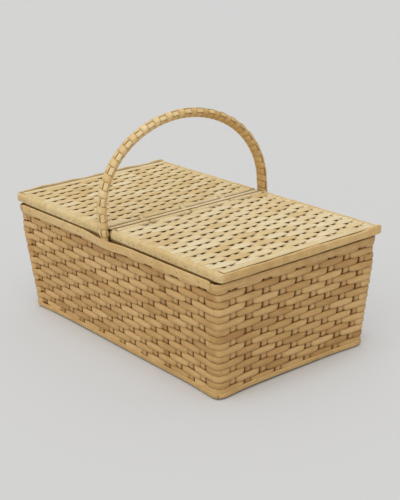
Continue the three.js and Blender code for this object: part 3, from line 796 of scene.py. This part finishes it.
def weave_leaders():
    """Leads a strip along each shoulder, over one turn and under the next, on a dark strip of painted
    shade.
    """
    s, path, tangent, out, size = handle_line(step=0.6)
    leaders = Strips()
    for face_side, shoulder in shoulders.items():
        over = leader_over(s, face_side)[0]
        to_side, to_out = math.cos(shoulder) * face_side * x_axis, math.sin(shoulder) * out
        spot = path + size[:, None] * (wrap_half_x * to_side + wrap_half_out * to_out)
        facing = unit(to_side / wrap_half_x + to_out / wrap_half_out)
        across = unit(np.cross(tangent, facing)) * face_side
        # The leader takes painted shade where it passes under a turn. Beneath it lies a dark strip that
        # paints the shade round it.
        leader = spot + (leader_swing * over + leader_low)[:, None] * facing
        leaders.add(leader, across, facing, leader_width - leader_pinch * (1 - over), leader_thickness,
                    np.clip(handle_tone_and_shade(path) + 0.25, 0, 1), section=oval(10, 3.0), depth=1 - over)
        shade_strip = spot + (shade_strip_swing * over + shade_strip_low)[:, None] * facing - shade_strip_shift[face_side] * across
        leaders.add(shade_strip, across, facing, shade_strip_width[face_side] - shade_strip_pinch * (1 - over), shade_strip_thickness, 0.0,
                    section=oval(8, 3.0), depth=0.62)
    leaders.piece("handle_leaders", handle_straw, "basket", "handle_strip",
                  "handle_leader_left", "handle_leader_right")


wind_handle()
weave_leaders()


# Centre bar: its flat strips, with shade painted along their edges and on a dark strip under the grooves
# between them, and the loops that hold the lids' rods

def lay_bar():
    """Lays a middle strip the whole way and two side strips that stop at the loops."""
    runs = [(0.0, bar_middle_width, -bar_reach, bar_reach)]
    for x in (-bar_side_x, bar_side_x):
        runs += [(x, bar_side_width, first, last) for first, last in between_loops(bar_reach, bar_gap)]
    bar = Strips()
    for x, width, first, last in runs:
        y = np.linspace(first, last, int((last - first) / 2))
        path = points(x + 0.12 * np.sin(y / 9.0 + x), y, bar_z - 0.02 * abs(x))
        # Painted shade along the edges of the bar's strips.
        bar.add(path, x_axis, z_axis, width, bar_thickness, random_tone(0.08) + 0.1 * np.sin(y / 40.0),
                section=oval(12, 3.0), edge=0.6)
    # A dark strip under the grooves between the bar's strips, as painted shade.
    shade_strip = points(0.0, np.linspace(-bar_reach, bar_reach, 80), bar_shade_z)
    bar.add(shade_strip, x_axis, z_axis, bar_shade_width, bar_shade_thickness, 0.0, depth=0.9)
    bar.piece("bar_strip", lid_straw, "basket", "band_strip", "center_strip")


def bind_loops(lid_side, sign):
    """Binds the lid's rod to the bar's cane at each loop, with two turns of strip."""
    cane, rod = np.array([bar_cane_x, bar_cane_z]), np.array([hinge_x, hinge_z])
    lean = math.atan2(*(rod - cane)[::-1])
    arc = np.linspace(0, math.pi, 13)
    rod_turn, cane_turn = lean + math.pi / 2 - arc, lean - math.pi / 2 - arc
    rod_side, cane_side = rod + loop_radius * circle(rod_turn), cane + loop_radius * circle(cane_turn)
    loop_x, loop_z = np.vstack([rod_side, cane_side]).T
    facing_x, facing_z = np.vstack([unit(rod_side - rod), unit(cane_side - cane)]).T
    for place_name, place in loop_places.items():
        loop = Strips()
        for shift in loop_turns:
            path = points(sign * loop_x, place + shift, loop_z)
            loop.add(path, y_axis, points(sign * facing_x, 0.0, facing_z), loop_width, loop_thickness,
                     random_tone(0.1), section=oval(8, 2.6), closed=True)
        loop.piece(f"{lid_side}_loop_binding_{place_name}", lid_straw, "basket", "handle_strip",
                   f"{lid_side}_hinge_loop_{place_name}")


lay_bar()
for lid_side, sign in lid_sides:
    bind_loops(lid_side, sign)


# Lids

edge_section = rounded_section(
    [(0.0, 0.5), (6.0, 0.0), (6.0, 10.7), (0.0, 10.5)], [0.4, 2.2, 4.6, 0.5], steps=5)
end_section = rounded_section(
    [(0.0, 0.0), (3.4, 0.0), (3.4, 9.6), (0.0, 9.6)], [0.8, 1.2, 1.6, 1.0], steps=4)


def weave_lid(lid, sign):
    """Weaves a lid's panel, with a flat last strip on it and two upright strips under its outer end."""
    def place(p):
        return np.column_stack([sign * p[:, 1], p[:, 0], p[:, 2]])

    def add_cross_strip(x, z, width, thick, span, tone_up=0.0, ripple=0.0, **shape):
        y = np.linspace(*span, 60)
        weave.add(points(sign * x, y, z), sign * x_axis, z_axis, width + ripple * np.sin(y / 11.0), thick,
                  np.clip(random_tone(0.1) + tone_up, 0, 1), **shape)

    weave = Strips()
    woven_panel(weave, place, rows=lid_rows, row_span=(-lid_row_reach, lid_row_reach), crossings=lid_stakes,
                cross_span=lid_stake_span, middle=lid_weave_z, lift=1.25, row_width=8.7, row_swell=4.7,
                cross_width=6.0, parity=1, tone_shift=0.05 if sign > 0 else -0.09)
    # Painted shade along the last strip's edges and on the two upright strips under the lid's end.
    add_cross_strip(**last_strip, tone_up=0.1, ripple=0.6, edge=0.35)
    add_cross_strip(**closing_strip, depth=0.6)
    add_cross_strip(**inner_strip, depth=0.2, section=oval(12, 4.0))
    weave.piece(f"{lid}_weave", lid_straw, lid, "lid_weave", f"{lid}_panel")


def border_lid(lid, sign):
    """Lays the front and back borders, which round off towards the lid's end."""
    straight = np.arange(border_start, border_round - 0.5, 3.0)
    x = np.append(straight, np.linspace(border_round, border_end, 9))
    rounding = rounded_off((x - border_round) / lid_rounding)
    wave = 0.15 * np.sin(x / 13.0 + sign) + 0.1 * np.sin(x / 5.1)
    reach = edge_section[:, 0].max()
    for edge, y_sign in long_edges:
        path = points(sign * x, y_sign * (lid_half_width - reach + wave * 0.5), lid_under + wave)
        border = Strips()
        border.add(path, y_sign * y_axis, z_axis, 1.0 - 0.85 * rounding, 1.0,
                   0.3 + 0.1 * np.sin(x / 37.0 + sign), section=edge_section)
        border.piece(f"{lid}_edge_{edge}", lid_straw, lid, "band_strip", f"{lid}_border_{edge}")


def end_lid(lid, sign):
    """Lays the wavy strip along the lid's end: bent round the near corner, and curled up at the far one."""
    far_start = lid_half_width - far_tip_length
    y = np.concatenate([np.linspace(-lid_row_reach, near_bend_y - 0.5, 6),
                        np.linspace(near_bend_y + 0.5, far_start - 0.5, 80),
                        np.linspace(far_start + 0.5, lid_half_width, 8)])
    far_tip = rounded_off((y - lid_half_width + far_tip_length) / far_tip_length)
    near_bend = rounded_off((near_bend_y - y) / lid_rounding)
    wave = 0.7 * np.sin(y / 19.0 + sign) + 0.5 * np.sin(y / 7.7)
    curl_up = ease((y - curl_start) / curl_length)
    flare = 1.0 if sign < 0 else 0.6 * curl_up
    out_to = end_x + 0.5 * wave + end_flare * flare - far_tuck * far_tip - near_tuck * near_bend
    path = points(sign * out_to, y, lid_under + end_rise * curl_up + tip_rise * far_tip)
    end = Strips()
    end.add(path, sign * x_axis, z_axis, 1.0, (1.0 + 0.22 * flare + 0.07 * wave) * (1 - 0.6 * far_tip),
            0.5 + 0.1 * np.sin(y / 43.0), section=end_section)
    material = lid_straw if sign < 0 else band_straw
    end.piece(f"{lid}_edge_end", material, lid, "band_strip", f"{lid}_border_end")


def cover_rod(lid, sign):
    """Covers the lid's rod with straw between the loops."""
    bow = circle(np.radians(np.linspace(*cover_turn, 14)))
    shell = np.concatenate([cover_outside * bow, cover_inside * bow[::-1]])
    cover = Strips()
    for first, last in between_loops(cover_reach, cover_gap):
        y = np.linspace(first, last, max(2, int((last - first) / 4)))
        cover.add(points(sign * hinge_x, y, hinge_z), sign * x_axis, z_axis, 1.0, 1.0,
                  0.6 + 0.1 * np.sin(y / 29.0), section=shell[::-1])
    cover.piece(f"{lid}_rod_cover", lid_straw, lid, "lid_weave")


for lid_side, sign in lid_sides:
    lid = f"{lid_side}_lid"
    weave_lid(lid, sign)
    border_lid(lid, sign)
    end_lid(lid, sign)
    cover_rod(lid, sign)


# CAD pieces that stay get their own finish

def dress(material, *names):
    for name in names:
        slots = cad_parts[name].data.materials
        slots.clear()
        slots.append(material)


def steel_material():
    """Plain wire nail: grey metal, a little uneven in colour and polish."""
    mat, tree, shader = new_material("nail_steel")
    coords = add_node(tree, "ShaderNodeTexCoord").outputs["Object"]
    noise = fibre_noise(tree, coords, along=900.0, across=900.0, shift=0.0)
    colour = ramp_node(tree, noise, [(0.3, (0.30, 0.28, 0.26)), (0.7, (0.52, 0.51, 0.49))])
    rough = map_range(tree, noise, 0.0, 1.0, 0.3, 0.55)
    set_inputs(tree, shader, {"Metallic": 1.0, "Base Color": colour, "Roughness": rough})
    return mat


cane_tones = [(0.0, (0.36, 0.21, 0.075)), (0.5, (0.50, 0.33, 0.13)), (1.0, (0.62, 0.44, 0.20))]
bamboo_tones = [(0.0, (0.46, 0.32, 0.13)), (0.5, (0.58, 0.43, 0.19)), (1.0, (0.68, 0.53, 0.27))]
grain_turns = {"x": (0.0, 0.0, 0.0), "y": (0.0, 0.0, -math.pi / 2), "z": (0.0, math.pi / 2, 0.0)}
cane_x, cane_y, cane_z = (
    straw_material(f"cane_{axis}", cane_tones, (0.15, 0.07, 0.02), 0.5, 0.35, grain_turns[axis])
    for axis in "xyz")
bamboo_x, bamboo_y = (
    straw_material(f"bamboo_{axis}", bamboo_tones, (0.18, 0.09, 0.03), 0.4, 0.4, grain_turns[axis])
    for axis in "xy")
dress(cane_x, "rim_cane_front", "rim_cane_back")
dress(cane_y, "rim_cane_left", "rim_cane_right", "bar_cane_left", "bar_cane_right",
      "left_lid_hinge_rod", "right_lid_hinge_rod", "handle_core")
dress(cane_z, *[f"corner_post_{edge}_{lid_side}" for edge, _ in long_edges for lid_side, _ in lid_sides])
dress(bamboo_x, "base_slat_front", "base_slat_middle", "base_slat_back")
dress(bamboo_y, "center_beam")
dress(steel_material(), *[f"{kind}_nail_{edge}" for kind in ("bar", "leg") for edge, _ in long_edges])


# Small pins that hold the lids' borders and the long rim bands

def add_pin(strips, spot, facing):
    """Adds a low domed pin head at spot, standing on a surface that faces facing."""
    side = unit(np.cross(facing, z_axis))
    strips.add(spot + pin_heights[:, None] * facing, side, z_axis, pin_sizes, pin_sizes, section=oval(8, 2))


pin_brown = straw_material("pin_brown", [(0.2, (0.10, 0.055, 0.025)), (0.8, (0.20, 0.12, 0.06))],
                           fleck_and_shade=(0.06, 0.03, 0.015), roughness=0.4, specular=0.5)
for lid_side, sign in lid_sides:
    pins = Strips()
    for _, y_sign in long_edges:
        for x in lid_pin_x:
            z = lid_pin_z + rng.uniform(-pin_scatter_z, pin_scatter_z)
            along_lid = x + rng.uniform(-lid_pin_scatter, lid_pin_scatter)
            spot = np.array([sign * along_lid, y_sign * (lid_half_width + lid_pin_lift), z])
            add_pin(pins, spot, y_sign * y_axis)
    pins.piece(f"{lid_side}_lid_pins", pin_brown, f"{lid_side}_lid", "nail_steel")

rim_pins = Strips()
front_middle = ring_sides(rim_pin_z)[0] / 2
for side_middle in (front_middle, front_middle + half_turn(rim_pin_z)):
    for x in rim_pin_x:
        at = np.array([x + rng.uniform(-rim_pin_scatter, rim_pin_scatter) + side_middle])
        z = rim_pin_z + rng.uniform(-pin_scatter_z, pin_scatter_z)
        spot, _, facing = wall_frame(at, z, np.full(1, rim_pin_lift))
        add_pin(rim_pins, spot[0], facing[0])
rim_pins.piece("rim_pins", pin_brown, "basket", "nail_steel")


# Camera at the photograph's viewing angle, placed in metres

azimuth, elevation, roll = (math.radians(v) for v in (51.895, 19.196, -1.7356))
camera_place = Vector((1.0774, -0.82565, 0.57572))
focal_pixels, picture_height = 1102.27, 500
camera = bpy.data.cameras.new("photo_camera")
camera.sensor_fit = "VERTICAL"
camera.sensor_height = 24.0
camera.lens = camera.sensor_height * focal_pixels / picture_height
camera.clip_start, camera.clip_end = 0.05, 60.0
backward = Vector((math.sin(azimuth) * math.cos(elevation), -math.cos(azimuth) * math.cos(elevation),
                   math.sin(elevation)))
level_right = Vector((math.cos(azimuth), math.sin(azimuth), 0.0))
level_up = backward.cross(level_right)
right = math.cos(roll) * level_right + math.sin(roll) * level_up
up = -math.sin(roll) * level_right + math.cos(roll) * level_up
camera_ob = add_object("photo_camera", camera)
camera_turn = Matrix((right, up, backward)).transposed().to_4x4()
camera_ob.matrix_world = Matrix.Translation(camera_place) @ camera_turn
bpy.context.scene.camera = camera_ob


# Plain floor and soft studio light

light_grey = (0.84, 0.84, 0.84, 1.0)
backdrop_grey = (0.65, 0.65, 0.645, 1.0)
glow_grey = (0.63, 0.63, 0.625, 1.0)

# The floor in metres: its half size, and how far beyond the footprint its glow begins and is full
floor_half = 15.0
glow_start, glow_full, glow_most = 0.005, 0.045, 0.5


def sun(name, heading, height, spread, strength):
    """A broad light from a heading (0 from the front, 90 from the right) and a height, both in degrees."""
    data = bpy.data.lights.new(name, "SUN")
    data.angle = math.radians(spread)
    data.energy = strength
    ob = add_object(name, data)
    ob.rotation_euler = (math.radians(90 - height), 0.0, math.radians(heading))


def seen_rays(tree):
    """1 for the camera's rays and for those that a mirror or glass sends on, and 0 for the light itself."""
    light_path = add_node(tree, "ShaderNodeLightPath").outputs
    seen = math_node(tree, "ADD", light_path["Is Camera Ray"], light_path["Is Glossy Ray"])
    return math_node(tree, "MINIMUM", math_node(tree, "ADD", seen, light_path["Is Transmission Ray"]), 1.0)


def mix_shaders(tree, factor, first, second, output):
    mix = add_node(tree, "ShaderNodeMixShader", {0: factor, 1: first.outputs[0], 2: second.outputs[0]})
    tree.links.new(mix.outputs[0], tree.nodes[output].inputs["Surface"])


def add_world():
    """Lights the object evenly from all round, and shows a plain backdrop."""
    world = bpy.data.worlds.new("studio")
    bpy.context.scene.world = world
    world.use_nodes = True
    tree = world.node_tree
    sky = tree.nodes["Background"]
    set_inputs(tree, sky, {"Color": light_grey, "Strength": 0.6})
    backdrop = add_node(tree, "ShaderNodeBackground", {"Color": backdrop_grey, "Strength": 1.0})
    mix_shaders(tree, seen_rays(tree), sky, backdrop, "World Output")


def floor_material():
    """Pale paint that takes the object's shadow. Away from the footprint it also glows by itself."""
    mat, tree, shader = new_material("floor_paint")
    set_inputs(tree, shader, {"Base Color": backdrop_grey, "Roughness": 0.7, "Specular IOR Level": 0.2})
    glow = add_node(tree, "ShaderNodeEmission", {"Color": glow_grey, "Strength": 1.0})
    place = add_node(tree, "ShaderNodeTexCoord").outputs["Object"]
    floor_x, floor_y = add_node(tree, "ShaderNodeSeparateXYZ", {0: place}).outputs[:2]
    beyond_x = math_node(tree, "SUBTRACT", math_node(tree, "ABSOLUTE", floor_x), base_length / 2 * MM)
    beyond_y = math_node(tree, "SUBTRACT", math_node(tree, "ABSOLUTE", floor_y), base_width / 2 * MM)
    beyond = math_node(tree, "MAXIMUM", beyond_x, beyond_y)
    glow_share = map_range(tree, beyond, glow_start, glow_full, 0.0, glow_most)
    share = math_node(tree, "MULTIPLY", seen_rays(tree), glow_share)
    mix_shaders(tree, share, shader, glow, "Material Output")
    return mat


sun("key", heading=28, height=55, spread=70, strength=1.5)
sun("top", heading=200, height=70, spread=70, strength=0.5)
add_world()

floor_mesh = bpy.data.meshes.new("floor")
floor_corners = [(x * floor_half, y * floor_half, 0) for x, y in ((-1, -1), (1, -1), (1, 1), (-1, 1))]
floor_mesh.from_pydata(floor_corners, [], [(0, 1, 2, 3)])
floor_mesh.materials.append(floor_material())
floor_ob = add_object("floor", floor_mesh)

bpy.context.scene.view_settings.view_transform = "Standard"
